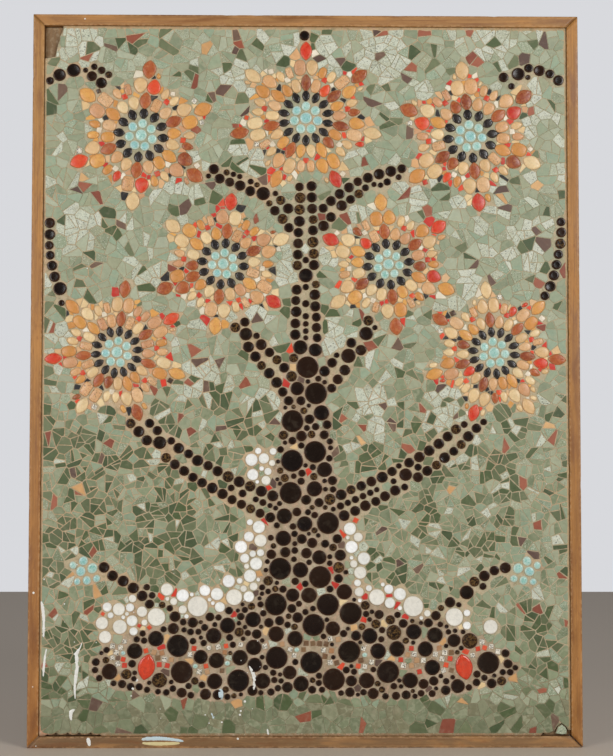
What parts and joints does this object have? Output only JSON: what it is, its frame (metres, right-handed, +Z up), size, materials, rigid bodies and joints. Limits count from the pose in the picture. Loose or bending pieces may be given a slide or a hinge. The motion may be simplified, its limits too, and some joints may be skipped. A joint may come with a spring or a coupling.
{
  "type": "mosaic panel",
  "caption": "Upright framed wall panel: ceramic tile mosaic of a tree with rosettes, bedded in mortar on a board with mitred wood battens, one corner broken away.",
  "frame": {"origin": "middle of the board's back face, where it lies on the wall", "axes": "+X to the right as the picture is seen, +Z up, +Y from the picture towards the wall"},
  "size_m": [0.914, 0.032, 1.219],
  "materials": {
    "board_wood": "aged plywood, bare",
    "batten_wood": "orange-brown varnish, worn",
    "mosaic": "matt to satin tile shards in pinkish-beige mortar",
    "dark_glaze": "glossy black-brown glaze",
    "white_glaze": "glossy white glaze",
    "red_glaze": "glossy orange-red glaze"
  },
  "bodies": {
    "root": {"backing_board": "board_wood", "dark_disc_01": "dark_glaze", "dark_disc_02": "dark_glaze", "dark_disc_03": "dark_glaze", "dark_disc_04": "dark_glaze", "dark_disc_05": "dark_glaze", "dark_disc_06": "dark_glaze", "dark_disc_07": "dark_glaze", "dark_disc_08": "dark_glaze", "dark_disc_09": "dark_glaze", "dark_disc_10": "dark_glaze", "dark_disc_11": "dark_glaze", "dark_disc_12": "dark_glaze", "dark_disc_13": "dark_glaze", "dark_disc_14": "dark_glaze", "dark_disc_15": "dark_glaze", "dark_disc_16": "dark_glaze", "dark_disc_17": "dark_glaze", "dark_disc_18": "dark_glaze", "dark_disc_19": "dark_glaze", "dark_disc_20": "dark_glaze", "dark_disc_21": "dark_glaze", "frame_bottom": "batten_wood", "frame_left": "batten_wood", "frame_right": "batten_wood", "frame_top": "batten_wood", "giant_dark_disc_01": "dark_glaze", "giant_dark_disc_02": "dark_glaze", "giant_dark_disc_03": "dark_glaze", "giant_dark_disc_04": "dark_glaze", "giant_dark_disc_05": "dark_glaze", "giant_dark_disc_06": "dark_glaze", "giant_dark_disc_07": "dark_glaze", "giant_dark_disc_08": "dark_glaze", "giant_dark_disc_09": "dark_glaze", "giant_dark_disc_10": "dark_glaze", "giant_dark_disc_11": "dark_glaze", "giant_dark_disc_12": "dark_glaze", "giant_dark_disc_13": "dark_glaze", "giant_dark_disc_14": "dark_glaze", "giant_dark_disc_15": "dark_glaze", "giant_dark_disc_16": "dark_glaze", "giant_dark_disc_17": "dark_glaze", "giant_dark_disc_18": "dark_glaze", "giant_dark_disc_19": "dark_glaze", "giant_dark_disc_20": "dark_glaze", "giant_dark_disc_21": "dark_glaze", "giant_dark_disc_22": "dark_glaze", "loose_corner_chunk": "mosaic", "mosaic_bed": "mosaic", "red_leaf_tile_01": "red_glaze", "red_leaf_tile_02": "red_glaze", "white_disc_01": "white_glaze", "white_disc_02": "white_glaze", "white_disc_03": "white_glaze", "white_disc_04": "white_glaze", "white_disc_05": "white_glaze", "white_disc_06": "white_glaze", "white_disc_07": "white_glaze", "white_disc_08": "white_glaze"}
  },
  "joints": []
}
